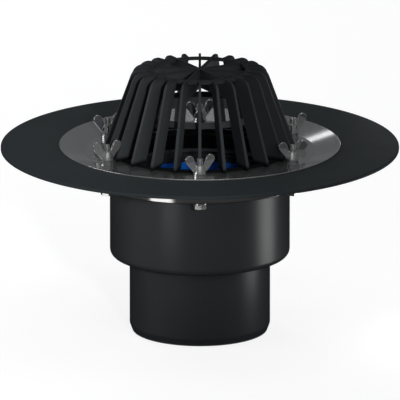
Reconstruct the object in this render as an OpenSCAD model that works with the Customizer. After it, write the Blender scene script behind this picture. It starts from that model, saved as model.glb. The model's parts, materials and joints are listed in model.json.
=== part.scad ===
// Flat roof drain with a clamped membrane collar and a lift-out leaf guard.
// Millimetres. +Z runs up the drain's axis, and the origin is the centre of the spigot's lower end.
// The pipe body hangs below the roof. Its thick flange, a sheet collar and a dished clamp ring are
// squeezed together by bolts, whose wing nuts stand round the foot of the leaf guard.

/* [Pipe body] */
// Outside diameter of the outlet spigot
spigot_d = 125; // [120:1:130]
// Wall of the spigot
spigot_wall = 4.8; // [3.5:0.1:6]
// Length of the spigot below the pot
spigot_len = 69; // [50:1:120]
// Height of the rounded lead-in at the spigot's end
lead_h = 7; // [3:0.5:12]
// How far the lead-in draws the spigot's end in
lead_in = 2.6; // [1:0.2:3]
// Outside diameter of the pot
pot_d = 160; // [154:1:166]
// Wall and floor of the pot
pot_wall = 6.2; // [5:0.1:7.5]
// Height of the pot from its floor to the flange
pot_h = 78; // [66:1:120]
// Outer corner radius at the foot of the pot
pot_corner_r = 6; // [3:0.5:8]
// How far the body's flange reaches beyond the bolt circle
flange_rim = 7; // [5.5:0.5:12]
// Thickness of the body's flange
flange_t = 13; // [11:0.5:14]

/* [Membrane collar and clamp ring] */
// Outside diameter of the membrane collar
collar_d = 354; // [300:2:420]
// Thickness of the membrane collar
collar_t = 3; // [2:0.5:4]
// Outside diameter of the clamp ring
clamp_d = 250; // [236:2:280]
// Sheet thickness of the clamp ring
clamp_t = 1.5; // [1:0.1:2]
// Bore of the clamp ring and of the collar
clamp_bore_d = 154; // [150:1:157]
// Width of the clamp ring's flat seat outside the washers
seat_margin = 1.5; // [0.5:0.5:5]
// How far that seat lies below the clamp ring's rim
dish = 6; // [3:0.5:8]
// How far the counter ring under the flange reaches beyond the bolt circle
counter_rim = 7; // [5.5:0.5:12]
// Thickness of the counter ring
counter_t = 5; // [4:0.5:7]
// Gap between the counter ring and the pot
counter_gap = 0.4; // [0.2:0.1:1]

/* [Bolts, washers and wing nuts] */
// Number of bolts
bolt_n = 6; // [4:1:8]
// Diameter of the bolt circle
bolt_pcd = 190; // [188:0.5:191]
// Bolt diameter
bolt_d = 6; // [5:0.5:7]
// Bolt length below the head
bolt_len = 41.5; // [37:0.5:48]
// Width across the flats of the bolt head
head_af = 10; // [8:0.5:11]
// Height of the bolt head
head_h = 4.4; // [3.5:0.1:5.5]
// Extra diameter of the bolt holes
hole_clear = 0.6; // [0.4:0.1:1]
// Outside diameter of the flat washers
washer_d = 12; // [11:0.5:13]
// Thickness of the flat washers
washer_t = 1.6; // [1:0.1:2]
// Extra diameter of the washer holes
washer_clear = 0.4; // [0.2:0.1:0.8]
// Outside diameter of the spring lock washers
spring_d = 11.8; // [10.5:0.1:12.5]
// Thickness of the spring lock washers
spring_t = 1.6; // [1:0.1:2]
// Width of the slit in a spring lock washer
spring_slit = 1.2; // [0.8:0.1:2]
// Radial running gap between nut and bolt
nut_fit = 0.05; // [0.02:0.01:0.1]
// Span of a wing nut over its ears
wing_span = 27.6; // [26:0.2:28]
// Height of a wing nut
wing_h = 17.4; // [16:0.2:19]
// Radius of the ears' round tips
ear_r = 4; // [3:0.1:4.4]
// Thickness of the ears
ear_t = 2.3; // [1.8:0.1:3]
// Diameter of the nut's hub at its foot
hub_d = 11.2; // [10.4:0.1:12]
// Diameter of the nut's hub at its top
hub_top_d = 8.8; // [8.2:0.1:9.6]
// Height of the nut's hub
hub_h = 8.6; // [7.5:0.1:9.5]
// Angle at which the front nut's ears stand once it is tight
nut_angle = 21; // [0:1:60]
// Change of that angle from nut to nut
nut_angle_step = 1.2; // [0:0.1:3]

/* [Leaf guard] */
// Height of the leaf guard
guard_h = 75; // [66:1:90]
// Diameter of the crown where the outer slope meets the top
crown_d = 118; // [108:1:122]
// Radius of the fins' rounded shoulder
shoulder_r = 10; // [6:0.5:12]
// Diameter of the eye inside the crown ring
eye_d = 82; // [74:1:86]
// Width of the crown ring
crown_w = 5; // [4:0.5:7]
// Drop of the crown ring's top over its width
crown_drop = 1; // [0.4:0.1:1.6]
// Depth of the crown ring at the eye
crown_t = 3.3; // [2.6:0.1:4]
// Number of fins
fin_n = 24; // [16:8:32]
// Thickness of the fins at the crown; the spokes are a little thinner
fin_t = 2.1; // [1.8:0.1:2.6]
// Thickness of the fins at their foot
fin_foot_t = 2.9; // [2.2:0.1:3.4]
// Depth of the fins at their foot
fin_depth = 16.5; // [14:0.5:17.5]
// Height of the fins' feet above the clamp ring
foot_gap = 0.8; // [0.5:0.1:1.5]
// Number of spokes across the eye
spoke_n = 8; // [4:4:8]
// Depth of the spokes
spoke_depth = 17.5; // [10:0.5:24]
// Height of the hoop inside the fins, at its upper edge
hoop_top = 39.4; // [30:0.2:46]
// Depth of the hoop
hoop_h = 5.4; // [4:0.2:7]
// Thickness of the hoop
hoop_t = 2; // [1.6:0.1:2.6]
// Width of the guard's base ring
base_w = 2.6; // [2:0.1:4]
// Height of the guard's base ring
base_h = 2.6; // [2.2:0.1:4]
// Gap between a turning ear and the fins at the ears' centre height
nut_guard_gap = 0.9; // [0.8:0.1:1.5]

/* [Seal and sleeve] */
// Gap between the pot and what is pushed into it
insert_gap = 0.2; // [0.1:0.1:0.5]
// Wall of the insert sleeve
sleeve_wall = 2.4; // [1.6:0.2:3]
// Height of the insert sleeve
sleeve_h = 59.4; // [30:0.2:64]
// Height of the lip seal
seal_h = 12.4; // [9:0.2:16]
// Thickness of the lip seal's wall
seal_wall = 1.6; // [1.2:0.1:2.4]
// Number of lips
lip_n = 3; // [2:1:4]
// How far the lips stand out from the seal's wall
lip_reach = 2.4; // [1:0.1:3]

/* [Hidden] */
$fn = 96;
arc_steps = 8;
bore_chamfer = 1.5;
floor_fillet = 1.5;
spigot_fillet = 1.5;
edge_chamfer = 0.6;
slit_angle = -50;
base_set_in = 0.5;
hoop_grip = 0.6;
spoke_set_in = 0.2;
bolt_point = 0.75;
// Shares of the head's width across its flats, and of the lips' pitch
head_face = 0.95;
lip_root = 0.9;
lip_tip_low = 0.15;
lip_tip_high = 0.45;
cut = 1;

// Heights of the stack, from the spigot's end upwards
pot_z = spigot_len;
floor_z = pot_z + pot_wall;
flange_z = pot_z + pot_h;
collar_z = flange_z + flange_t;
clamp_z = collar_z + collar_t;
seat_z = clamp_z + clamp_t;
rim_z = clamp_z + dish;
nut_z = seat_z + washer_t + spring_t;
counter_z = flange_z - counter_t;
head_z = counter_z - washer_t;
sleeve_top_z = floor_z + sleeve_h;

// Radii shared by pieces that fit together
spigot_r = spigot_d / 2;
spigot_bore_r = spigot_r - spigot_wall;
pot_r = pot_d / 2;
pot_bore_r = pot_r - pot_wall;
bolt_r = bolt_d / 2;
bolt_circle_r = bolt_pcd / 2;
flange_r = bolt_circle_r + flange_rim;
counter_r = bolt_circle_r + counter_rim;
seat_r = bolt_circle_r + washer_d / 2 + seat_margin;
hole_r = bolt_r + hole_clear / 2;
insert_r = pot_bore_r - insert_gap;

// Wing nut: the ears' round tips
ear_x = wing_span / 2 - ear_r;
ear_z = wing_h - ear_r;
root_t = 2 * ear_t;
root_reach = 1.6;
root_z = 0.55 * hub_h;

// Leaf guard: the outer slope passes clear of the ears and ends at the crown
ear_level = nut_z + ear_z - seat_z;
ear_level_r = bolt_circle_r - wing_span / 2 - nut_guard_gap;
slope = (ear_level_r - crown_d / 2) / (guard_h - ear_level);
slope_angle = atan(slope);
shoulder_reach = shoulder_r * tan(45 - slope_angle / 2);
foot_r = crown_d / 2 + slope * (guard_h - foot_gap);
foot_in_r = foot_r - fin_depth;
base_in_r = clamp_bore_d / 2 + base_set_in;
crown_in_r = eye_d / 2;
crown_out_r = crown_in_r + crown_w;
fin_in_r = crown_in_r + crown_w / 4;
spoke_t = fin_t - spoke_set_in;
inner_slope = (foot_in_r - fin_in_r) / (guard_h - crown_t / 2 - base_h / 2);
hoop_top_r = fin_in_r + inner_slope * (guard_h - crown_t / 2 - hoop_top) + hoop_grip;
hoop_foot_r = hoop_top_r + inner_slope * hoop_h;

// Points along an arc, from angle a to angle b
function arc(x, z, r, a, b) =
    [for (i = [0 : arc_steps]) let (t = a + (b - a) * i / arc_steps) [x + r * cos(t), z + r * sin(t)]];

// Angle at which a line from p touches a circle round c, on one side or the other
function touch_angle(p, c, r, side) =
    atan2(p[1] - c[1], p[0] - c[0]) + side * acos(r / norm(p - c));

// Places its children at every bolt
module at_bolts() {
    for (i = [0 : bolt_n - 1])
        at_bolt(i) children();
}

// Places its children at one bolt; bolt 0 is at the front
module at_bolt(i) {
    a = -90 + i * 360 / bolt_n;
    translate([bolt_circle_r * cos(a), bolt_circle_r * sin(a), 0]) children();
}

module bolt_holes() {
    at_bolts() cylinder(r = hole_r, h = rim_z + cut);
}

module washer(d, t) {
    difference() {
        cylinder(d = d, h = t);
        translate([0, 0, -cut]) cylinder(d = bolt_d + washer_clear, h = t + 2 * cut);
    }
}

// Spigot, pot and flange, moulded as one piece
module drain_body() {
    lead_r = (lead_h * lead_h + lead_in * lead_in) / (2 * lead_in);
    lead_angle = asin(lead_h / lead_r);
    color([0.11, 0.12, 0.125])
    difference() {
        rotate_extrude() polygon(concat(
            [[spigot_bore_r, 0]],
            arc(spigot_r - lead_r, lead_h, lead_r, -lead_angle, 0),
            arc(spigot_r + spigot_fillet, pot_z - spigot_fillet, spigot_fillet, 180, 90),
            arc(pot_r - pot_corner_r, pot_z + pot_corner_r, pot_corner_r, -90, 0),
            [[pot_r, flange_z]],
            [[flange_r - edge_chamfer, flange_z]],
            [[flange_r, flange_z + edge_chamfer]],
            [[flange_r, collar_z - edge_chamfer]],
            [[flange_r - edge_chamfer, collar_z]],
            [[pot_bore_r + bore_chamfer, collar_z]],
            [[pot_bore_r, collar_z - bore_chamfer]],
            arc(pot_bore_r - floor_fillet, floor_z + floor_fillet, floor_fillet, 0, -90),
            arc(spigot_bore_r + spigot_fillet, floor_z - spigot_fillet, spigot_fillet, 90, 180)
        ));
        bolt_holes();
    }
}

// Sheet collar that the roof membrane is joined to, drawn down under the clamp ring
module membrane_collar() {
    color([0.15, 0.16, 0.165])
    difference() {
        rotate_extrude($fn = 192) polygon([
            [clamp_bore_d / 2, collar_z],
            [seat_r, collar_z],
            [clamp_d / 2, rim_z - collar_t],
            [collar_d / 2 - edge_chamfer, rim_z - collar_t],
            [collar_d / 2, rim_z - collar_t + edge_chamfer],
            [collar_d / 2, rim_z - edge_chamfer],
            [collar_d / 2 - edge_chamfer, rim_z],
            [clamp_d / 2, rim_z],
            [seat_r, clamp_z],
            [clamp_bore_d / 2, clamp_z]
        ]);
        bolt_holes();
    }
}

// Dished stainless ring that presses the collar onto the flange
module clamp_ring() {
    color([0.62, 0.63, 0.64])
    difference() {
        rotate_extrude($fn = 192) polygon([
            [clamp_bore_d / 2, clamp_z],
            [seat_r, clamp_z],
            [clamp_d / 2, rim_z],
            [clamp_d / 2, rim_z + clamp_t],
            [seat_r, seat_z],
            [clamp_bore_d / 2, seat_z]
        ]);
        bolt_holes();
    }
}

// Loose stainless ring under the flange
module counter_ring() {
    bore_r = pot_r + counter_gap;
    color([0.6, 0.61, 0.62])
    difference() {
        rotate_extrude($fn = 192) polygon([
            [bore_r, counter_z],
            [counter_r - edge_chamfer, counter_z],
            [counter_r, counter_z + edge_chamfer],
            [counter_r, flange_z - edge_chamfer],
            [counter_r - edge_chamfer, flange_z],
            [bore_r, flange_z]
        ]);
        bolt_holes();
    }
}

// Hexagon bolt with its head below and its point up
module hex_bolt() {
    corner_r = head_af / 2 / cos(30);
    flat_r = head_face * head_af / 2;
    rise = (corner_r - flat_r) * tan(30);
    head_low_z = head_z - head_h;
    point_z = head_z + bolt_len - bolt_point;
    union() {
        intersection() {
            translate([0, 0, head_low_z]) rotate(30) cylinder(r = corner_r, h = head_h, $fn = 6);
            rotate_extrude() polygon([
                [0, head_low_z],
                [flat_r, head_low_z],
                [corner_r + cut, head_low_z + rise * (corner_r + cut - flat_r) / (corner_r - flat_r)],
                [corner_r + cut, head_z],
                [0, head_z]
            ]);
        }
        translate([0, 0, head_z - head_h / 2]) cylinder(r = bolt_r, h = point_z - head_z + head_h / 2);
        translate([0, 0, point_z]) cylinder(r1 = bolt_r, r2 = bolt_r - bolt_point, h = bolt_point);
    }
}

module hex_bolts() {
    color([0.72, 0.73, 0.74]) at_bolts() hex_bolt();
}

module lower_washers() {
    color([0.66, 0.67, 0.68]) at_bolts() translate([0, 0, head_z]) washer(washer_d, washer_t);
}

module upper_washers() {
    color([0.7, 0.71, 0.72]) at_bolts() translate([0, 0, seat_z]) washer(washer_d, washer_t);
}

// Split lock washers between the flat washers and the wing nuts
module spring_washers() {
    color([0.66, 0.67, 0.68])
    at_bolts() translate([0, 0, seat_z + washer_t]) difference() {
        washer(spring_d, spring_t);
        rotate(slit_angle) translate([0, -spring_slit / 2, -cut]) cube([spring_d, spring_slit, spring_t + 2 * cut]);
    }
}

// One wing in side view: hub foot, outer edge, round ear, inner edge, hub top
module wing_outline() {
    ear = [ear_x, ear_z];
    foot = [hub_d / 2 - edge_chamfer, edge_chamfer];
    top = [hub_top_d / 2 - edge_chamfer, hub_h - edge_chamfer];
    outer_a = touch_angle(foot, ear, ear_r, 1);
    inner_a = touch_angle(top, ear, ear_r, -1) + 360;
    polygon(concat([[0, edge_chamfer], foot], arc(ear_x, ear_z, ear_r, outer_a, inner_a), [top, [0, top[1]]]));
}

// The thicker root that carries a wing on the hub
module wing_root() {
    foot_x = hub_d / 2 - edge_chamfer;
    polygon([
        [0, edge_chamfer],
        [foot_x, edge_chamfer],
        [foot_x + root_reach, root_z],
        [hub_top_d / 2, hub_h - edge_chamfer],
        [0, hub_h - edge_chamfer]
    ]);
}

// Wing nut; its bore is a running fit on the bolt
module wing_nut(i) {
    turn = nut_angle + nut_angle_step * i;
    color([0.78, 0.79, 0.8])
    at_bolt(i) translate([0, 0, nut_z]) rotate(turn) difference() {
        union() {
            cylinder(d1 = hub_d - 2 * edge_chamfer, d2 = hub_d, h = edge_chamfer);
            translate([0, 0, edge_chamfer])
                cylinder(d1 = hub_d, d2 = hub_top_d, h = hub_h - 2 * edge_chamfer);
            translate([0, 0, hub_h - edge_chamfer])
                cylinder(d1 = hub_top_d, d2 = hub_top_d - 2 * edge_chamfer, h = edge_chamfer);
            for (side = [0, 180]) rotate(side) {
                translate([0, ear_t / 2, 0]) rotate([90, 0, 0]) linear_extrude(ear_t) wing_outline();
                translate([0, root_t / 2, 0]) rotate([90, 0, 0]) linear_extrude(root_t) wing_root();
            }
        }
        translate([0, 0, -cut]) cylinder(r = bolt_r + nut_fit, h = hub_h + 2 * cut);
    }
}

// Side view of one fin: sloping back, rounded shoulder, flat top, sloping inner edge
module fin_outline() {
    crown_r = crown_d / 2;
    polygon(concat(
        [[foot_in_r, base_h / 2], [base_in_r, base_h / 2], [base_in_r + base_w / 2, foot_gap], [foot_r, foot_gap]],
        arc(crown_r - shoulder_reach, guard_h - shoulder_r, shoulder_r, slope_angle, 90),
        [[fin_in_r, guard_h], [fin_in_r, guard_h - crown_t / 2]]
    ));
}

// One fin, moulded with a draft: thicker at its foot than at the crown
module fin() {
    blank_t = fin_t + fin_foot_t;
    intersection() {
        translate([0, blank_t / 2, 0]) rotate([90, 0, 0]) linear_extrude(blank_t) fin_outline();
        rotate([90, 0, 90]) linear_extrude(foot_r + cut) polygon([
            [-fin_foot_t / 2, 0],
            [fin_foot_t / 2, 0],
            [fin_t / 2, guard_h],
            [-fin_t / 2, guard_h]
        ]);
    }
}

// Side view of one spoke, from the guard's axis into the fin that it continues
module spoke_outline() {
    polygon([
        [0, guard_h],
        [0, guard_h - spoke_depth],
        [fin_in_r + inner_slope * spoke_depth, guard_h - spoke_depth],
        [fin_in_r + fin_t, guard_h]
    ]);
}

// Basket of upright fins on a base ring, tied by a hoop and closed by a crown ring and crossed spokes
module leaf_guard() {
    spoke_turn = 360 / fin_n * 2;
    color([0.16, 0.17, 0.175])
    translate([0, 0, seat_z]) {
        rotate_extrude() translate([base_in_r, 0]) square([base_w, base_h]);
        rotate_extrude() polygon([
            [crown_in_r, guard_h],
            [crown_out_r, guard_h - crown_drop],
            [crown_out_r, guard_h - crown_t],
            [crown_in_r, guard_h - crown_t]
        ]);
        rotate_extrude() polygon([
            [hoop_top_r, hoop_top],
            [hoop_foot_r, hoop_top - hoop_h],
            [hoop_foot_r - hoop_t, hoop_top - hoop_h],
            [hoop_top_r - hoop_t, hoop_top]
        ]);
        for (i = [0 : fin_n - 1])
            rotate(-90 + i * 360 / fin_n) fin();
        for (i = [0 : spoke_n - 1])
            rotate(-90 + spoke_turn + i * 360 / spoke_n) translate([0, spoke_t / 2, 0])
                rotate([90, 0, 0]) linear_extrude(spoke_t) spoke_outline();
    }
}

// Ring of rubber lips on the rim of the insert sleeve
module lip_seal() {
    pitch = (seal_h - seal_wall) / lip_n;
    wall_r = insert_r - seal_wall;
    lip_r = wall_r - lip_reach;
    color([0.2, 0.21, 0.22])
    rotate_extrude() translate([0, sleeve_top_z]) polygon(concat(
        [[insert_r, 0], [insert_r, seal_h], [wall_r, seal_h]],
        [for (i = [lip_n - 1 : -1 : 0]) each [
            [wall_r, seal_wall + (i + lip_root) * pitch],
            [lip_r, seal_wall + (i + lip_tip_high) * pitch],
            [lip_r, seal_wall + (i + lip_tip_low) * pitch],
            [wall_r, seal_wall + i * pitch]
        ]],
        [[wall_r, 0]]
    ));
}

// Coloured sleeve that stands on the pot's floor
module insert_sleeve() {
    color([0.05, 0.2, 0.55])
    rotate_extrude() polygon([
        [insert_r - sleeve_wall, floor_z],
        [insert_r - floor_fillet, floor_z],
        [insert_r, floor_z + floor_fillet],
        [insert_r, sleeve_top_z],
        [insert_r - sleeve_wall, sleeve_top_z]
    ]);
}

drain_body();
membrane_collar();
clamp_ring();
counter_ring();
hex_bolts();
lower_washers();
upper_washers();
spring_washers();
leaf_guard();
lip_seal();
insert_sleeve();
for (i = [0 : bolt_n - 1])
    wing_nut(i);
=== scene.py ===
"""Flat roof drain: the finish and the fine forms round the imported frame, in metres."""
import json
import math

import bmesh
import bpy
from mathutils import Matrix, Vector


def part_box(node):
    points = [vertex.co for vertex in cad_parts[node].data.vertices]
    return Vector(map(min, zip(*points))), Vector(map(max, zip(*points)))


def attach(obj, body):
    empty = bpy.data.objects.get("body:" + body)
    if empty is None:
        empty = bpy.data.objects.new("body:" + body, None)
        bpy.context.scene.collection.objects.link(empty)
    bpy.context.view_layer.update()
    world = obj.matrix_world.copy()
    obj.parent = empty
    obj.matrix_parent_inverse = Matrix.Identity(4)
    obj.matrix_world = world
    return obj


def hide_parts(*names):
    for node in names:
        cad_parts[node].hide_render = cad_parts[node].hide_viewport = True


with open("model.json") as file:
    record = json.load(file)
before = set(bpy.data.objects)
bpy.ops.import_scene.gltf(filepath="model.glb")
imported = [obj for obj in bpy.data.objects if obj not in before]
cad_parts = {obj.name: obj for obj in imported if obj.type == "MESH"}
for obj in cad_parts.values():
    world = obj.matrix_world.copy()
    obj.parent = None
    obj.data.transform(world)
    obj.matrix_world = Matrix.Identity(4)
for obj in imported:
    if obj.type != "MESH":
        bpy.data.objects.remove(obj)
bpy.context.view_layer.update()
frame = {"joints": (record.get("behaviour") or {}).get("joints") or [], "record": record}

MM = 0.001

# Levels and radii that the frame gives
body_low, body_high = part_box("drain_body")
collar_low, collar_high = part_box("membrane_collar")
clamp_low, clamp_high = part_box("clamp_ring")
counter_low, counter_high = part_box("counter_ring")
washer_low, washer_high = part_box("lower_washers")
upper_low, upper_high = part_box("upper_washers")
spring_low, spring_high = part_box("spring_washers")
bolt_low, bolt_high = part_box("hex_bolts")
guard_low, guard_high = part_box("leaf_guard")
seal_low, seal_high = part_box("lip_seal")
sleeve_low, sleeve_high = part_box("insert_sleeve")
nut_low, nut_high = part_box("wing_nut_1")
joints = {joint["child"]: Vector(joint["pos_m"]) for joint in frame["joints"]}
spigot = next(m for m in frame["record"]["mounts"] if m["name"] == "outlet_spigot")

# Walls and hidden sizes of the body and its rings
SPIGOT_R = spigot["dims"]["r_mm"] * MM
SPIGOT_WALL = 4.8 * MM
POT_R = 80 * MM
POT_WALL = 6.2 * MM
LEAD_H = 7 * MM
LEAD_IN = 2.6 * MM
CLAMP_BORE_R = 77 * MM
CLAMP_T = 1.5 * MM
COLLAR_T = 3 * MM
SEAT_R = 102.5 * MM
COUNTER_BORE_R = 80.4 * MM
SLEEVE_WALL = 2.4 * MM
SEAL_WALL = 1.6 * MM

# Fasteners
BOLT_R = 3 * MM
BOLT_HOLE_R = 3.3 * MM
BOLT_POINT = 0.75 * MM
WASHER_R = 6 * MM
SPRING_R = 5.9 * MM
WASHER_HOLE_R = 3.2 * MM
THREAD_PITCH = 1 * MM
THREAD_DEPTH = 0.5 * MM
HEAD_AF = 10 * MM
HEAD_FACE = 0.95
# The side of a head that faces front is turned by this, as in the photo: the solids have a
# corner there
HEAD_ANGLE = -15.6
HUB_R = 5.6 * MM
HUB_TOP_R = 4.4 * MM
HUB_H = 8.6 * MM
EAR_R = 4 * MM
EAR_T = 2.3 * MM
EAR_EDGE = 0.55 * MM
ROOT_OUT = 1.6 * MM
ROOT_H = 0.55 * HUB_H
ROOT_T = 2 * EAR_T
ROOT_EDGE = 1.2 * MM
WING_INSET = 0.6 * MM
WING_SPAN = 27.6 * MM
NUT_BORE_R = 3.05 * MM
NUT_VOXEL = 0.24 * MM
NUT_ANGLE = 21
NUT_ANGLE_STEP = 1.2
SLIT_ANGLE = -50
SLIT_W = 1.2 * MM

# Leaf guard
FIN_N = 24
FIN_TOP_T = 2.1 * MM
FIN_FOOT_T = 2.9 * MM
FIN_DEPTH = 16.5 * MM
FOOT_GAP = 0.8 * MM
CROWN_R = 59 * MM
SHOULDER_R = 10 * MM
EYE_R = 41 * MM
CROWN_W = 5 * MM
CROWN_DROP = 1 * MM
CROWN_T = 3.3 * MM
FIN_IN_R = EYE_R + CROWN_W / 4
SPOKE_N = 8
SPOKE_DEPTH = 17.5 * MM
SPOKE_T = 1.9 * MM
BASE_IN_R = 77.5 * MM
BASE_W = 2.6 * MM
BASE_H = 2.6 * MM
HOOP_TOP = 39.4 * MM
HOOP_H = 5.4 * MM
HOOP_T = 2 * MM
HOOP_GRIP = 0.6 * MM

TURN_STEPS = 192
SMALL_STEPS = 40
NUT_STEPS = 48
HEAD_STEPS = 96
STAGE_STEPS = 96
EAR_STEPS = 20
ARC_STEPS = 5
TAU = 2 * math.pi
# How far a cutting shape reaches past what it cuts
PAST = 1 * MM


# ---------------------------------------------------------------- mesh helpers

def rounded(corners, steps=ARC_STEPS):
    """Closed outline through (radius, height, fillet) corners, each corner an arc of its fillet."""
    points = []
    for i, (r, z, fillet) in enumerate(corners):
        here = Vector((r, z))
        if not fillet:
            points.append(here)
            continue
        back = (Vector(corners[i - 1][:2]) - here).normalized()
        on = (Vector(corners[(i + 1) % len(corners)][:2]) - here).normalized()
        half = back.angle(on) / 2
        centre = here + (back + on).normalized() * fillet / math.sin(half)
        first = here + back * fillet / math.tan(half) - centre
        last = here + on * fillet / math.tan(half) - centre
        start = math.atan2(first.y, first.x)
        sweep = (math.atan2(last.y, last.x) - start + math.pi) % TAU - math.pi
        for k in range(steps + 1):
            angle = start + sweep * k / steps
            points.append(centre + fillet * Vector((math.cos(angle), math.sin(angle))))
    return points


def new_object(name, bm):
    """Object from a bmesh, with its faces turned outwards."""
    bmesh.ops.remove_doubles(bm, verts=bm.verts, dist=1e-7)
    bmesh.ops.dissolve_degenerate(bm, edges=bm.edges, dist=1e-7)
    bmesh.ops.recalc_face_normals(bm, faces=bm.faces)
    mesh = bpy.data.meshes.new(name)
    bm.to_mesh(mesh)
    bm.free()
    piece = bpy.data.objects.new(name, mesh)
    bpy.context.scene.collection.objects.link(piece)
    return piece


def add_turned(bm, outline, centre=(0, 0), steps=TURN_STEPS, start=0, sweep=TAU):
    """Turns a closed outline of (radius, height) about an upright axis through centre."""
    whole = abs(sweep - TAU) < 1e-9
    rings = []
    for j in range(steps if whole else steps + 1):
        angle = start + sweep * j / steps
        c, s = math.cos(angle), math.sin(angle)
        x, y = centre[0], centre[1]
        rings.append([bm.verts.new((x + r * c, y + r * s, z)) for r, z in outline])
    pairs = list(zip(rings, rings[1:]))
    if whole:
        pairs.append((rings[-1], rings[0]))
    for near, far in pairs:
        for i in range(len(outline)):
            k = (i + 1) % len(outline)
            bm.faces.new((near[i], near[k], far[k], far[i]))
    if not whole:
        bm.faces.new(rings[0])
        bm.faces.new(reversed(rings[-1]))


def turned(name, corners, steps=TURN_STEPS):
    bm = bmesh.new()
    add_turned(bm, rounded(corners), steps=steps)
    return new_object(name, bm)


def add_plate(bm, outline, thickness, edge, placing):
    """Flat plate: an outline in X and Z, with its long edges rounded, placed by a matrix."""
    front = [bm.verts.new((p[0], -thickness / 2, p[1])) for p in outline]
    back = [bm.verts.new((p[0], thickness / 2, p[1])) for p in outline]
    made = [bm.faces.new(front), bm.faces.new(reversed(back))]
    for i in range(len(outline)):
        k = (i + 1) % len(outline)
        made.append(bm.faces.new((front[k], front[i], back[i], back[k])))
    rims = [e for e in made[0].edges] + [e for e in made[1].edges]
    result = bmesh.ops.bevel(bm, geom=rims, offset=edge, segments=3, profile=0.5, affect="EDGES")
    verts = {v for f in result["faces"] for v in f.verts} | {v for v in front + back if v.is_valid}
    bmesh.ops.transform(bm, matrix=placing, verts=list(verts))
    return list(verts)


def with_modifier(piece, kind, **settings):
    """Adds one modifier and keeps its result as the piece's own mesh."""
    modifier = piece.modifiers.new(kind.title(), kind)
    for key, value in settings.items():
        setattr(modifier, key, value)
    bpy.context.view_layer.update()
    shape = piece.evaluated_get(bpy.context.evaluated_depsgraph_get())
    mesh = bpy.data.meshes.new_from_object(shape)
    old = piece.data
    piece.modifiers.clear()
    piece.data = mesh
    bpy.data.meshes.remove(old)
    return piece


def combined(piece, other, operation):
    """Boolean of two closed pieces; the second one is used up."""
    with_modifier(piece, "BOOLEAN", operation=operation, object=other, solver="MANIFOLD")
    bpy.data.objects.remove(other)
    return piece


def drilled(piece, radius, low, high):
    """Drills the piece at every bolt."""
    bm = bmesh.new()
    for place in joints.values():
        depth = high - low + 4 * PAST
        middle = Matrix.Translation((place.x, place.y, (low + high) / 2))
        bmesh.ops.create_cone(
            bm, cap_ends=True, segments=SMALL_STEPS, radius1=radius, radius2=radius,
            depth=depth, matrix=middle,
        )
    return combined(piece, new_object("drill", bm), "DIFFERENCE")


def shaded(piece, angle=35):
    """Smooth shading that keeps creases sharp and flat faces flat."""
    piece.data.polygons.foreach_set("use_smooth", [True] * len(piece.data.polygons))
    piece.data.set_sharp_from_angle(angle=math.radians(angle))
    modifier = piece.modifiers.new("Normals", "WEIGHTED_NORMAL")
    modifier.keep_sharp = True
    return piece


def dressed(piece, material, node, body="drain"):
    """Gives a piece its material and its body, and hides the CAD node that it stands for."""
    piece.data.materials.clear()
    piece.data.materials.append(material)
    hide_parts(node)
    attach(piece, body)
    return piece


# ---------------------------------------------------------------- materials

# Roughness of the places with painted shade, and the noise values that give the least and the most
# roughness
MATT = 0.9
ROUGH_FROM, ROUGH_TO = 0.3, 0.7


def set_inputs(node, values):
    for name, value in values.items():
        node.inputs[name].default_value = value


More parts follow.
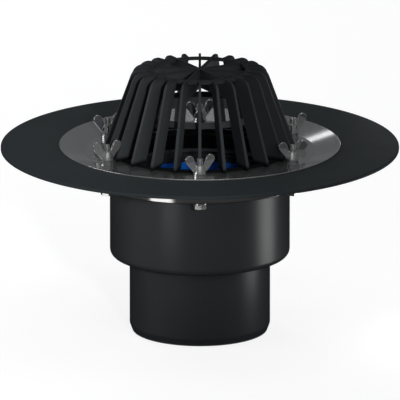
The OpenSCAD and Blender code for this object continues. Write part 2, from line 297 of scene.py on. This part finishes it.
class Surface:
    """A Principled material in the making: its nodes, its links and its shader."""

    def __init__(self, name, metallic=0.0, specular=0.5):
        self.material = bpy.data.materials.new(name)
        self.material.use_nodes = True
        self.nodes = self.material.node_tree.nodes
        self.links = self.material.node_tree.links
        self.shader = self.nodes["Principled BSDF"]
        self.shader.inputs["Metallic"].default_value = metallic
        self.shader.inputs["Specular IOR Level"].default_value = specular
        self.place = self.nodes.new("ShaderNodeTexCoord").outputs["Object"]
        self.bump = None

    def noise(self, scale, detail=3.0, stretch=(1, 1, 1)):
        """Noise over the piece; scale is in waves a metre."""
        mapping = self.nodes.new("ShaderNodeMapping")
        mapping.inputs["Scale"].default_value = stretch
        texture = self.nodes.new("ShaderNodeTexNoise")
        texture.inputs["Scale"].default_value = scale
        texture.inputs["Detail"].default_value = detail
        self.links.new(self.place, mapping.inputs["Vector"])
        self.links.new(mapping.outputs["Vector"], texture.inputs["Vector"])
        return texture.outputs["Fac"]

    def height(self):
        apart = self.nodes.new("ShaderNodeSeparateXYZ")
        self.links.new(self.place, apart.inputs[0])
        return apart.outputs["Z"]

    def radius(self, above=-1.0):
        """Distance from the drain's axis, or a large value below that height."""
        low = self.nodes.new("ShaderNodeMath")
        low.operation = "LESS_THAN"
        low.inputs[1].default_value = above
        total = self.nodes.new("ShaderNodeMath")
        apart = self.nodes.new("ShaderNodeSeparateXYZ")
        flat = self.nodes.new("ShaderNodeCombineXYZ")
        length = self.nodes.new("ShaderNodeVectorMath")
        length.operation = "LENGTH"
        self.links.new(self.place, apart.inputs[0])
        self.links.new(apart.outputs["X"], flat.inputs["X"])
        self.links.new(apart.outputs["Y"], flat.inputs["Y"])
        self.links.new(flat.outputs[0], length.inputs[0])
        self.links.new(apart.outputs["Z"], low.inputs[0])
        self.links.new(length.outputs["Value"], total.inputs[0])
        self.links.new(low.outputs[0], total.inputs[1])
        return total.outputs[0]

    def rings(self, scale):
        """Noise that changes only with the distance from the axis, as a turned finish does."""
        texture = self.nodes.new("ShaderNodeTexNoise")
        texture.noise_dimensions = "1D"
        texture.inputs["Scale"].default_value = scale
        texture.inputs["Detail"].default_value = 2.0
        self.links.new(self.radius(), texture.inputs["W"])
        return texture.outputs["Fac"]

    def colour(self, fac, dark, light):
        """Base colour that wanders between two colours."""
        mix = self.nodes.new("ShaderNodeMix")
        mix.data_type = "RGBA"
        mix.inputs["A"].default_value = (*dark, 1)
        mix.inputs["B"].default_value = (*light, 1)
        self.links.new(fac, mix.inputs["Factor"])
        self.links.new(mix.outputs["Result"], self.shader.inputs["Base Color"])

    def ramp(self, value, start, end, low, high):
        """Number that goes from low to high as a value goes from start to end."""
        ramp = self.nodes.new("ShaderNodeMapRange")
        set_inputs(ramp, {"From Min": start, "From Max": end, "To Min": low, "To Max": high})
        self.links.new(value, ramp.inputs["Value"])
        return ramp.outputs["Result"]

    def roughness(self, fac, low, high):
        spread = self.ramp(fac, ROUGH_FROM, ROUGH_TO, low, high)
        self.links.new(spread, self.shader.inputs["Roughness"])

    def painted_shade(self, where, start, end, share):
        """Paints shade: takes the colour down to a share, and makes it matt, where a value is below
        start.
        """
        scaled = self.nodes.new("ShaderNodeVectorMath")
        scaled.operation = "SCALE"
        rougher = self.nodes.new("ShaderNodeMath")
        rougher.operation = "MAXIMUM"
        colour = self.shader.inputs["Base Color"]
        roughness = self.shader.inputs["Roughness"]
        self.links.new(colour.links[0].from_socket, scaled.inputs[0])
        self.links.new(self.ramp(where, start, end, share, 1), scaled.inputs["Scale"])
        self.links.new(scaled.outputs[0], colour)
        self.links.new(roughness.links[0].from_socket, rougher.inputs[0])
        self.links.new(self.ramp(where, start, end, MATT, 0), rougher.inputs[1])
        self.links.new(rougher.outputs[0], roughness)

    def relief(self, fac, height, strength=1.0):
        """Adds a bump of that height, in metres, on top of the bumps before it."""
        bump = self.nodes.new("ShaderNodeBump")
        bump.inputs["Distance"].default_value = height
        bump.inputs["Strength"].default_value = strength
        self.links.new(fac, bump.inputs["Height"])
        if self.bump:
            self.links.new(self.bump, bump.inputs["Normal"])
        self.bump = bump.outputs["Normal"]
        self.links.new(self.bump, self.shader.inputs["Normal"])


def body_plastic():
    """Black moulded plastic with a soft sheen and a faint flow pattern, with painted shade that
    makes it deeper black inside the pot.
    """
    s = Surface("body_plastic", specular=0.5)
    flow = s.noise(14, 4, (1, 1, 0.35))
    s.colour(flow, (0.0270, 0.0296, 0.0315), (0.0312, 0.0340, 0.0361))
    s.roughness(flow, 0.31, 0.35)
    # Painted shade inside the pot's bore: the colour falls to a twentieth there and the surface
    # goes matt.
    inside = POT_R - POT_WALL + 1.6 * MM
    s.painted_shade(s.radius(above=sleeve_low.z), inside, inside + 1 * MM, 0.05)
    s.relief(s.noise(2200, 2), 0.012 * MM)
    s.relief(s.noise(60, 2), 0.06 * MM)
    return s.material


def collar_sheet():
    """Matt black sheet with a fine calendered grain, and painted shade at the edge of its bore."""
    s = Surface("collar_sheet", specular=0.08)
    cloud = s.noise(9, 5)
    s.colour(cloud, (0.0236, 0.0290, 0.0318), (0.0284, 0.0346, 0.0378))
    s.roughness(cloud, 0.55, 0.66)
    # Painted shade at the bore edge: the colour falls to a quarter there and the surface goes matt.
    bore_shade_r = CLAMP_BORE_R + 0.3 * MM
    s.painted_shade(s.radius(), bore_shade_r, bore_shade_r + 0.3 * MM, 0.25)
    s.relief(s.noise(1500, 3), 0.03 * MM)
    return s.material


def guard_plastic():
    """Black moulded plastic, matt, with a little bloom, and painted shade at its foot and on its
    crown.
    """
    s = Surface("guard_plastic", specular=0.12)
    bloom = s.noise(22, 4)
    s.colour(bloom, (0.0335, 0.0372, 0.0394), (0.0400, 0.0443, 0.0467))
    s.roughness(bloom, 0.4, 0.52)
    foot = guard_low.z + BASE_H
    crown = guard_high.z - 0.5 * MM
    # Painted shadow at the foot, between the fins and on the base ring: colour to an eighth,
    # surface matt.
    s.painted_shade(s.height(), foot, foot + 3 * MM, 0.12)
    # Painted shade on the top of the crown: colour to six tenths, surface matt.
    s.painted_shade(s.height(), crown, crown - 3.5 * MM, 0.6)
    s.relief(s.noise(1800, 3), 0.02 * MM)
    return s.material


def stainless_sheet():
    """Bright rolled sheet, pressed to a dish: almost a mirror, with fine turned lines."""
    s = Surface("stainless_sheet", metallic=0.915)
    cloud = s.noise(11, 4)
    s.colour(cloud, (0.56, 0.565, 0.565), (0.62, 0.625, 0.625))
    s.roughness(cloud, 0.08, 0.12)
    s.relief(s.rings(2600), 0.0015 * MM)
    s.relief(s.noise(35, 2), 0.02 * MM)
    return s.material


def stainless_plate():
    """Turned stainless plate: faint tool marks on a bright face."""
    s = Surface("stainless_plate", metallic=1.0)
    cloud = s.noise(30, 4)
    s.colour(cloud, (0.5, 0.48, 0.475), (0.6, 0.585, 0.58))
    s.roughness(cloud, 0.1, 0.18)
    s.relief(s.noise(2400, 2, (0.02, 0.02, 1)), 0.003 * MM)
    return s.material


def even_surface(name, cloud, dark, light, rough, grain, height, **settings):
    """Material that only clouds a little in colour and gloss, over one fine grain."""
    s = Surface(name, **settings)
    fac = s.noise(*cloud)
    s.colour(fac, dark, light)
    s.roughness(fac, *rough)
    s.relief(s.noise(*grain), height)
    return s.material


def bolt_steel():
    return even_surface(
        "bolt_steel", (240, 3), (0.48, 0.48, 0.475), (0.56, 0.56, 0.55), (0.11, 0.17),
        (2600, 2), 0.003 * MM, metallic=0.9,
    )


def washer_steel():
    return even_surface(
        "washer_steel", (300, 3), (0.46, 0.46, 0.455), (0.54, 0.54, 0.535), (0.13, 0.2),
        (2200, 3), 0.005 * MM, metallic=0.9,
    )


def nut_steel():
    """Polished forging: a mirror with a slightly uneven skin."""
    return even_surface(
        "nut_steel", (160, 3), (0.56, 0.565, 0.555), (0.64, 0.645, 0.635), (0.07, 0.10),
        (500, 2), 0.012 * MM, metallic=0.88,
    )


def seal_rubber():
    return even_surface(
        "seal_rubber", (40, 3), (0.015, 0.018, 0.021), (0.022, 0.026, 0.030), (0.2, 0.28),
        (900, 2), 0.01 * MM,
    )


def sleeve_plastic():
    return even_surface(
        "sleeve_plastic", (18, 4), (0.008, 0.085, 0.40), (0.012, 0.105, 0.46), (0.22, 0.3),
        (1600, 2), 0.01 * MM,
    )


# ---------------------------------------------------------------- body and rings

def make_body(material):
    """Spigot, pot and flange with their moulded fillets."""
    pot_bore = POT_R - POT_WALL
    spigot_bore = SPIGOT_R - SPIGOT_WALL
    pot_z = sleeve_low.z - POT_WALL
    lead_fillet = 5.5 * MM
    top = body_high.z
    piece = turned("drain_body", [
        (spigot_bore, body_low.z, 0.8 * MM),
        (SPIGOT_R - LEAD_IN, body_low.z, 0.8 * MM),
        (SPIGOT_R, LEAD_H, lead_fillet),
        (SPIGOT_R, pot_z, 1.5 * MM),
        (POT_R, pot_z, 6 * MM),
        (POT_R, counter_high.z, 0.6 * MM),
        (body_high.x, counter_high.z, 0.8 * MM),
        (body_high.x, top, 0.8 * MM),
        (pot_bore + 1.5 * MM, top, 0.3 * MM),
        (pot_bore, top - 1.5 * MM, 0.3 * MM),
        (pot_bore, sleeve_low.z, 1.4 * MM),
        (spigot_bore, sleeve_low.z, 1.5 * MM),
    ])
    drilled(piece, BOLT_HOLE_R, counter_high.z, top)
    return dressed(shaded(piece), material, "drain_body")


def make_collar(material):
    """Sheet collar, drawn down under the clamp ring."""
    rim = clamp_high.z - CLAMP_T
    low = collar_low.z
    bend = 4 * MM
    piece = turned("membrane_collar", [
        (CLAMP_BORE_R, low, 0.4 * MM),
        (SEAT_R, low, bend),
        (clamp_high.x, rim - COLLAR_T, bend),
        (collar_high.x, rim - COLLAR_T, 0.5 * MM),
        (collar_high.x, rim, 1.1 * MM),
        (clamp_high.x, rim, bend),
        (SEAT_R, low + COLLAR_T, bend),
        (CLAMP_BORE_R, low + COLLAR_T, 0.4 * MM),
    ])
    drilled(piece, BOLT_HOLE_R, low, low + COLLAR_T)
    return dressed(shaded(piece), material, "membrane_collar")


def make_clamp_ring(material):
    """Pressed dish of bright sheet with deburred edges."""
    low = clamp_low.z
    rise = clamp_high.z - CLAMP_T - low
    edge = 0.45 * MM
    piece = turned("clamp_ring", [
        (CLAMP_BORE_R, low, edge),
        (SEAT_R, low, 2.2 * MM),
        (clamp_high.x, low + rise, edge),
        (clamp_high.x, clamp_high.z, edge),
        (SEAT_R, low + CLAMP_T, 0.9 * MM),
        (CLAMP_BORE_R, low + CLAMP_T, edge),
    ])
    drilled(piece, BOLT_HOLE_R, low, low + CLAMP_T)
    return dressed(shaded(piece), material, "clamp_ring")


def make_counter_ring(material):
    edge = 0.5 * MM
    piece = turned("counter_ring", [
        (COUNTER_BORE_R, counter_low.z, edge),
        (counter_high.x, counter_low.z, edge),
        (counter_high.x, counter_high.z, edge),
        (COUNTER_BORE_R, counter_high.z, edge),
    ])
    drilled(piece, BOLT_HOLE_R, counter_low.z, counter_high.z)
    return dressed(shaded(piece), material, "counter_ring")


def make_sleeve(material):
    outer = sleeve_high.x
    piece = turned("insert_sleeve", [
        (outer - SLEEVE_WALL, sleeve_low.z, 0),
        (outer - 1.5 * MM, sleeve_low.z, 0.2 * MM),
        (outer, sleeve_low.z + 1.5 * MM, 0.4 * MM),
        (outer, sleeve_high.z, 0.5 * MM),
        (outer - SLEEVE_WALL, sleeve_high.z, 0.5 * MM),
    ])
    return dressed(shaded(piece), material, "insert_sleeve")


def make_seal(material):
    """Rubber ring with drooping lips that thin towards their tips."""
    lips = 3
    reach = 2.4 * MM
    wall_r = seal_high.x - SEAL_WALL
    pitch = (seal_high.z - seal_low.z - SEAL_WALL) / lips
    corners = [
        (seal_high.x, seal_low.z, 0.2 * MM),
        (seal_high.x, seal_high.z, 0.3 * MM),
        (wall_r, seal_high.z, 0.3 * MM),
    ]
    for i in reversed(range(lips)):
        root = seal_low.z + SEAL_WALL + i * pitch
        corners += [
            (wall_r, root + 0.9 * pitch, 0.1 * MM),
            (wall_r - reach, root + 0.45 * pitch, 0.3 * MM),
            (wall_r - reach, root + 0.15 * pitch, 0.3 * MM),
            (wall_r, root, 0.1 * MM),
        ]
    corners.append((wall_r, seal_low.z, 0.2 * MM))
    return dressed(shaded(turned("lip_seal", corners), 50), material, "lip_seal")


# ---------------------------------------------------------------- fasteners

def ring_corners(inner, outer, low, high, edge):
    return [(inner, low, edge), (outer, low, edge), (outer, high, edge), (inner, high, edge)]


def make_washers(name, low, high, material):
    """Flat washers, one at every bolt, with stamped edges."""
    bm = bmesh.new()
    for place in joints.values():
        outline = rounded(ring_corners(WASHER_HOLE_R, WASHER_R, low, high, 0.25 * MM), 3)
        add_turned(bm, outline, place, SMALL_STEPS)
    return dressed(shaded(new_object(name, bm)), material, name)


def make_spring_washers(material):
    """Split lock washers, open at their slit."""
    gap = SLIT_W / SPRING_R
    bm = bmesh.new()
    for place in joints.values():
        corners = ring_corners(WASHER_HOLE_R, SPRING_R, spring_low.z, spring_high.z, 0.2 * MM)
        outline = rounded(corners, 2)
        start = math.radians(SLIT_ANGLE) + gap / 2
        add_turned(bm, outline, place, SMALL_STEPS, start, TAU - gap)
    return dressed(shaded(new_object("spring_washers", bm)), material, "spring_washers")


def bolt_head(place, head_z):
    """Hexagon head with a chamfered face, one side turned nearly to the front."""
    corner = HEAD_AF / 2 / math.cos(math.pi / 6)
    height = head_z - bolt_low.z
    bm = bmesh.new()
    turn = Matrix.Rotation(math.pi / 2 + math.radians(HEAD_ANGLE), 4, "Z")
    middle = Matrix.Translation((place.x, place.y, bolt_low.z + height / 2)) @ turn
    bmesh.ops.create_cone(
        bm, cap_ends=True, segments=6, radius1=corner, radius2=corner, depth=height, matrix=middle
    )
    head = new_object("head", bm)
    bm = bmesh.new()
    face = HEAD_FACE * HEAD_AF / 2
    wide = 2 * corner
    add_turned(bm, [
        (0, bolt_low.z),
        (face, bolt_low.z),
        (wide, bolt_low.z + (wide - face) * math.tan(math.pi / 6)),
        (wide, head_z + PAST),
        (0, head_z + PAST),
    ], place, HEAD_STEPS)
    return combined(head, new_object("cone", bm), "INTERSECT")


def add_thread(bm, place, low, high):
    """Threaded shank: a helix of ridges that runs out at the point's chamfer."""
    turns_a_step = 0.25
    rows = int((high - low) / (THREAD_PITCH * turns_a_step))
    grid = []
    for i in range(rows + 1):
        z = low + (high - low) * i / rows
        crest = min(BOLT_R, BOLT_R - BOLT_POINT + (high - z))
        row = []
        for j in range(SMALL_STEPS):
            angle = TAU * j / SMALL_STEPS
            phase = (z / THREAD_PITCH - j / SMALL_STEPS) % 1
            r = min(crest, BOLT_R - THREAD_DEPTH * (1 - abs(2 * phase - 1)))
            x, y = r * math.cos(angle), r * math.sin(angle)
            row.append(bm.verts.new((place.x + x, place.y + y, z)))
        grid.append(row)
    for near, far in zip(grid, grid[1:]):
        for j in range(SMALL_STEPS):
            k = (j + 1) % SMALL_STEPS
            bm.faces.new((near[j], near[k], far[k], far[j]))
    bm.faces.new(reversed(grid[0]))
    bm.faces.new(grid[-1])


def make_bolts(material):
    """All the bolts: heads below the counter ring, threads up through the nuts."""
    bm = bmesh.new()
    for place in joints.values():
        head = bolt_head(place, washer_low.z)
        bm.from_mesh(head.data)
        bpy.data.objects.remove(head)
        add_thread(bm, place, washer_low.z, bolt_high.z)
    return dressed(shaded(new_object("hex_bolts", bm), 30), material, "hex_bolts")


def tangent_points(start, end, centre, radius, steps):
    """Points round a circle, from its tangent through start to its tangent through end."""
    def touch(point, side):
        away = Vector(point) - Vector(centre)
        return math.atan2(away.y, away.x) + side * math.acos(radius / away.length)
    first = touch(start, 1)
    last = touch(end, -1)
    while last < first:
        last += TAU
    angles = [first + (last - first) * k / steps for k in range(steps + 1)]
    return [(centre[0] + radius * math.cos(a), centre[1] + radius * math.sin(a)) for a in angles]


def wing_nut_mesh():
    """One wing nut at the origin, ears along X: hub, ears and roots are grown together."""
    height = nut_high.z - nut_low.z
    bm = bmesh.new()
    add_turned(bm, rounded([
        (0, 0, 0),
        (HUB_R, 0, 0.7 * MM),
        (HUB_TOP_R, HUB_H, 0.8 * MM),
        (0, HUB_H, 0),
    ]), steps=NUT_STEPS)
    nut = new_object("wing_nut", bm)
    ear = (WING_SPAN / 2 - EAR_R, height - EAR_R)
    foot = (HUB_R - WING_INSET, WING_INSET)
    top = (HUB_TOP_R - WING_INSET, HUB_H - WING_INSET)
    tip = tangent_points(foot, top, ear, EAR_R, EAR_STEPS)
    ear_outline = [(0, foot[1]), foot, *tip, top, (0, top[1])]
    root_outline = [(0, foot[1]), foot, (foot[0] + ROOT_OUT, ROOT_H), top, (0, top[1])]
    wings = ((ear_outline, EAR_T, EAR_EDGE), (root_outline, ROOT_T, ROOT_EDGE))
    for outline, thickness, edge in wings:
        for turn in (0, math.pi):
            bm = bmesh.new()
            add_plate(bm, outline, thickness, edge, Matrix.Rotation(turn, 4, "Z"))
            combined(nut, new_object("wing", bm), "UNION")
    with_modifier(nut, "REMESH", mode="VOXEL", voxel_size=NUT_VOXEL)
    with_modifier(nut, "SMOOTH", factor=0.5, iterations=5)
    bm = bmesh.new()
    add_turned(bm, rounded([
        (0, -PAST, 0),
        (NUT_BORE_R + 1.6 * MM, -PAST, 0),
        (NUT_BORE_R, 0.6 * MM, 0),
        (NUT_BORE_R, HUB_H - 0.5 * MM, 0),
        (NUT_BORE_R + 1.5 * MM, HUB_H + PAST, 0),
        (0, HUB_H + PAST, 0),
    ]), steps=NUT_STEPS)
    combined(nut, new_object("bore", bm), "DIFFERENCE")
    mesh = nut.data
    bpy.data.objects.remove(nut)
    return mesh


def make_wing_nuts(material):
    """A wing nut on every bolt, each turned a little further than the one before."""
    pattern = wing_nut_mesh()
    for i, (body, place) in enumerate(joints.items()):
        mesh = pattern.copy()
        turn = math.radians(NUT_ANGLE + NUT_ANGLE_STEP * i)
        seat = Matrix.Translation((place.x, place.y, nut_low.z))
        mesh.transform(seat @ Matrix.Rotation(turn, 4, "Z"))
        piece = bpy.data.objects.new(f"wing_nut_{i + 1}_forging", mesh)
        bpy.context.scene.collection.objects.link(piece)
        dressed(shaded(piece, 40), material, f"wing_nut_{i + 1}", body)


# ---------------------------------------------------------------- leaf guard

def fin_outline():
    """Side view of one fin: sloping back, rounded shoulder, flat top, sloping inner edge."""
    foot_r = guard_high.x
    low, high = guard_low.z, guard_high.z
    inner_foot = foot_r - FIN_DEPTH
    return rounded([
        (inner_foot, low + BASE_H / 2, 0.5 * MM),
        (BASE_IN_R, low + BASE_H / 2, 0),
        (BASE_IN_R + BASE_W / 2, low + FOOT_GAP, 0),
        (foot_r, low + FOOT_GAP, 0.8 * MM),
        (CROWN_R, high, SHOULDER_R),
        (FIN_IN_R, high, 0.3 * MM),
        (FIN_IN_R, high - CROWN_T / 2, 0.3 * MM),
    ], 8)


def inner_slope():
    """How far the fins' inner edge runs outwards for each metre down."""
    height = guard_high.z - guard_low.z - CROWN_T / 2 - BASE_H / 2
    return (guard_high.x - FIN_DEPTH - FIN_IN_R) / height


def spoke_outline():
    high = guard_high.z
    return [
        (-SPOKE_T, high),
        (-SPOKE_T, high - SPOKE_DEPTH),
        (FIN_IN_R + inner_slope() * SPOKE_DEPTH, high - SPOKE_DEPTH),
        (FIN_IN_R + FIN_TOP_T, high),
    ]


def make_guard(material):
    """Basket of drafted fins on a base ring, with a hoop, a crown ring and crossed spokes."""
    low, high = guard_low.z, guard_high.z
    edge = 0.4 * MM
    guard = turned("leaf_guard", [
        (EYE_R, high, edge),
        (EYE_R + CROWN_W, high - CROWN_DROP, edge),
        (EYE_R + CROWN_W, high - CROWN_T, edge),
        (EYE_R, high - CROWN_T, edge),
    ])
    bm = bmesh.new()
    add_turned(bm, rounded([
        (BASE_IN_R, low, edge),
        (BASE_IN_R + BASE_W, low, edge),
        (BASE_IN_R + BASE_W, low + BASE_H, 0.8 * MM),
        (BASE_IN_R, low + BASE_H, 0.8 * MM),
    ]))
    combined(guard, new_object("base_ring", bm), "UNION")
    hoop_z = low + HOOP_TOP
    hoop_r = FIN_IN_R + inner_slope() * (high - CROWN_T / 2 - hoop_z) + HOOP_GRIP
    foot_r = hoop_r + inner_slope() * HOOP_H
    hoop = turned("hoop", [
        (hoop_r, hoop_z, edge),
        (foot_r, hoop_z - HOOP_H, edge),
        (foot_r - HOOP_T, hoop_z - HOOP_H, edge),
        (hoop_r - HOOP_T, hoop_z, edge),
    ])
    combined(guard, hoop, "UNION")
    outline = fin_outline()
    bm = bmesh.new()
    front = -math.pi / 2
    for i in range(FIN_N):
        turn = Matrix.Rotation(front + TAU * i / FIN_N, 4, "Z")
        draft = add_plate(bm, outline, FIN_FOOT_T, 0.5 * MM, Matrix.Identity(4))
        for v in draft:
            share = (v.co.z - low) / (high - low)
            v.co.y *= 1 + (FIN_TOP_T / FIN_FOOT_T - 1) * share
        bmesh.ops.transform(bm, matrix=turn, verts=draft)
    combined(guard, new_object("fins", bm), "UNION")
    for i in range(SPOKE_N):
        bm = bmesh.new()
        turn = front + TAU * 2 / FIN_N + TAU * i / SPOKE_N
        add_plate(bm, spoke_outline(), SPOKE_T, 0.3 * MM, Matrix.Rotation(turn, 4, "Z"))
        combined(guard, new_object("spoke", bm), "UNION")
    return dressed(shaded(guard, 32), material, "leaf_guard")


# ---------------------------------------------------------------- stage

FRAME_W = 355.6 * MM
CAMERA_FAR = 14.0
CAMERA_TILT = math.radians(15)
SENSOR = 36.0
AIM = Vector((0.13 * MM, 0, 118.5 * MM))
FLOOR_R = 6.0
FLOOR_RIM = 0.7
FLOOR_GREY = 0.35
FLOOR_GLOW = 0.82
TRAY_R = 0.36
TRAY_WALL = 0.215
TRAY_LIFT = 0.001
# Heights on the tray's wall and the glow there
TRAY_BLACK_Z, TRAY_BLACK = 0.03, 0.005
TRAY_GREY_Z, TRAY_GREY = 0.14, 0.13
STUDIO_COLOUR = (0.166, 0.172, 0.178, 1)
STUDIO_STRENGTH = 0.68


def make_camera():
    """Very long lens, fifteen degrees above the horizon, straight in front."""
    data = bpy.data.cameras.new("camera")
    data.sensor_width = SENSOR
    data.lens = SENSOR * CAMERA_FAR / FRAME_W
    data.clip_end = 100
    camera = bpy.data.objects.new("camera", data)
    back = Vector((0, -math.cos(CAMERA_TILT), math.sin(CAMERA_TILT)))
    camera.location = AIM + back * CAMERA_FAR
    camera.rotation_euler = (math.pi / 2 - CAMERA_TILT, 0, 0)
    bpy.context.scene.collection.objects.link(camera)
    bpy.context.scene.camera = camera


def background_rays(nodes, links):
    """1 for the rays that should see the pale background: camera, glossy and transmission."""
    path = nodes.new("ShaderNodeLightPath")
    total = path.outputs["Is Camera Ray"]
    for name in ("Is Glossy Ray", "Is Transmission Ray"):
        larger = nodes.new("ShaderNodeMath")
        larger.operation = "MAXIMUM"
        links.new(total, larger.inputs[0])
        links.new(path.outputs[name], larger.inputs[1])
        total = larger.outputs[0]
    return total


def empty_material(name):
    """Material whose tree holds only its output."""
    material = bpy.data.materials.new(name)
    material.use_nodes = True
    nodes, links = material.node_tree.nodes, material.node_tree.links
    nodes.clear()
    return material, nodes, links, nodes.new("ShaderNodeOutputMaterial").inputs["Surface"]


def make_dish(name, radius, wall, z, material):
    """Round stage piece: a disc with an upright wall at its edge."""
    bm = bmesh.new()
    bmesh.ops.create_circle(bm, cap_ends=True, segments=STAGE_STEPS, radius=radius)
    rim = bmesh.ops.extrude_edge_only(bm, edges=[e for e in bm.edges if e.is_boundary])
    risen = [v for v in rim["geom"] if isinstance(v, bmesh.types.BMVert)]
    bmesh.ops.translate(bm, vec=(0, 0, wall), verts=risen)
    dish = new_object(name, bm)
    dish.data.materials.append(material)
    dish.location.z = z
    return dish


def make_floor():
    """Pale floor, turned up at its far edge, that shows white and still takes the shadow."""
    material, nodes, links, surface = empty_material("floor")
    paper = nodes.new("ShaderNodeBsdfDiffuse")
    paper.inputs["Color"].default_value = (FLOOR_GREY, FLOOR_GREY, FLOOR_GREY, 1)
    glow = nodes.new("ShaderNodeEmission")
    glow.inputs["Color"].default_value = (1, 1, 1, 1)
    share = nodes.new("ShaderNodeMath")
    share.operation = "MULTIPLY"
    share.inputs[1].default_value = FLOOR_GLOW
    both = nodes.new("ShaderNodeAddShader")
    links.new(background_rays(nodes, links), share.inputs[0])
    links.new(share.outputs[0], glow.inputs["Strength"])
    links.new(paper.outputs[0], both.inputs[0])
    links.new(glow.outputs[0], both.inputs[1])
    links.new(both.outputs[0], surface)
    make_dish("floor", FLOOR_R, FLOOR_RIM, body_low.z, material)


def make_tray():
    """Tray round the drain that only mirrors see, black below and studio grey at its rim."""
    material, nodes, links, surface = empty_material("flag")
    place = nodes.new("ShaderNodeTexCoord")
    apart = nodes.new("ShaderNodeSeparateXYZ")
    rise = nodes.new("ShaderNodeMapRange")
    set_inputs(rise, {
        "From Min": TRAY_BLACK_Z, "From Max": TRAY_GREY_Z,
        "To Min": TRAY_BLACK, "To Max": TRAY_GREY,
    })
    grey = nodes.new("ShaderNodeEmission")
    links.new(place.outputs["Object"], apart.inputs[0])
    links.new(apart.outputs["Z"], rise.inputs["Value"])
    links.new(rise.outputs["Result"], grey.inputs["Strength"])
    links.new(grey.outputs[0], surface)
    tray = make_dish("flag", TRAY_R, TRAY_WALL, TRAY_LIFT, material)
    tray.visible_camera = False
    tray.visible_shadow = False
    tray.visible_diffuse = False


def make_world():
    world = bpy.data.worlds.new("studio")
    world.use_nodes = True
    background = world.node_tree.nodes["Background"]
    set_inputs(background, {"Color": STUDIO_COLOUR, "Strength": STUDIO_STRENGTH})
    bpy.context.scene.world = world


def place_lamp(data, place, aim, in_mirrors):
    """Hangs a lamp that looks at a point, and that mirrors may or may not see."""
    lamp = bpy.data.objects.new(data.name, data)
    lamp.location = place
    lamp.rotation_euler = (Vector(aim) - Vector(place)).to_track_quat("-Z", "Y").to_euler()
    lamp.visible_camera = False
    lamp.visible_glossy = in_mirrors
    bpy.context.scene.collection.objects.link(lamp)


def make_lamp(name, place, aim, width, height, radiance, in_mirrors=True):
    """Soft rectangular lamp whose face has that radiance."""
    data = bpy.data.lights.new(name, "AREA")
    data.shape = "RECTANGLE"
    data.size = width
    data.size_y = height
    data.energy = radiance * math.pi * width * height
    place_lamp(data, place, aim, in_mirrors)


def make_spot(name, place, aim, angle, radius, watts):
    """Spot with a soft edge, for one side of the drain."""
    data = bpy.data.lights.new(name, "SPOT")
    data.spot_size = math.radians(angle)
    data.spot_blend = 1
    data.shadow_soft_size = radius
    data.energy = watts
    place_lamp(data, place, aim, False)


def make_lamps():
    """Large soft lamps for the black plastic, then the strips that the steel mirrors."""
    middle = (0, 0, 0.12)
    make_lamp("overhead", (0, -0.3, 2.2), middle, 0.9, 0.9, 1.3)
    make_lamp("overhead_back", (0, 1.2, 1.9), middle, 0.9, 0.9, 1.0)
    make_lamp("key_box", (1.25, -1.78, 1.13), middle, 1.2, 1.2, 3.0, in_mirrors=False)
    make_spot("left_spot", (0.3, -2.1, 0.75), (-0.115, -0.05, 0.17), 5.8, 0.15, 430)
    make_lamp("left_box", (-1.57, -0.2, 0.4), middle, 1.0, 0.8, 3.3)
    make_lamp("back_fill", (-0.9, 1.6, 0.9), middle, 1.0, 1.0, 2.2, in_mirrors=False)
    make_lamp("front_strip", (0, -0.33, 0.182), (0, -0.1, 0.177), 0.26, 0.01, 0.8)
    make_lamp("right_strip", (0.26, -0.035, 0.062), (0, -0.035, 0.062), 0.1, 0.12, 3.2)
    make_lamp("left_strip", (-0.18, -0.276, 0.071), (-0.03, -0.095, 0.137), 0.115, 0.045, 1.9)
    make_lamp("back_strip", (-0.15, 1.49, 0.778), middle, 0.3, 0.08, 1.5)
    make_lamp("rim_strip", (0.42, 1.4, 0.55), middle, 0.045, 0.35, 1.55)
    make_lamp("right_edge", (0.176, 0.276, 0.188), (0.125, 0, 0.171), 0.06, 0.02, 3.0)


scene = bpy.context.scene
scene.view_settings.view_transform = "Standard"
make_camera()
make_world()
make_floor()
make_tray()
make_body(body_plastic())
make_collar(collar_sheet())
make_clamp_ring(stainless_sheet())
make_counter_ring(stainless_plate())
make_sleeve(sleeve_plastic())
make_seal(seal_rubber())
make_bolts(bolt_steel())
washers = washer_steel()
make_washers("lower_washers", washer_low.z, washer_high.z, washers)
make_washers("upper_washers", upper_low.z, upper_high.z, washers)
make_spring_washers(washers)
make_wing_nuts(nut_steel())
make_guard(guard_plastic())
make_lamps()
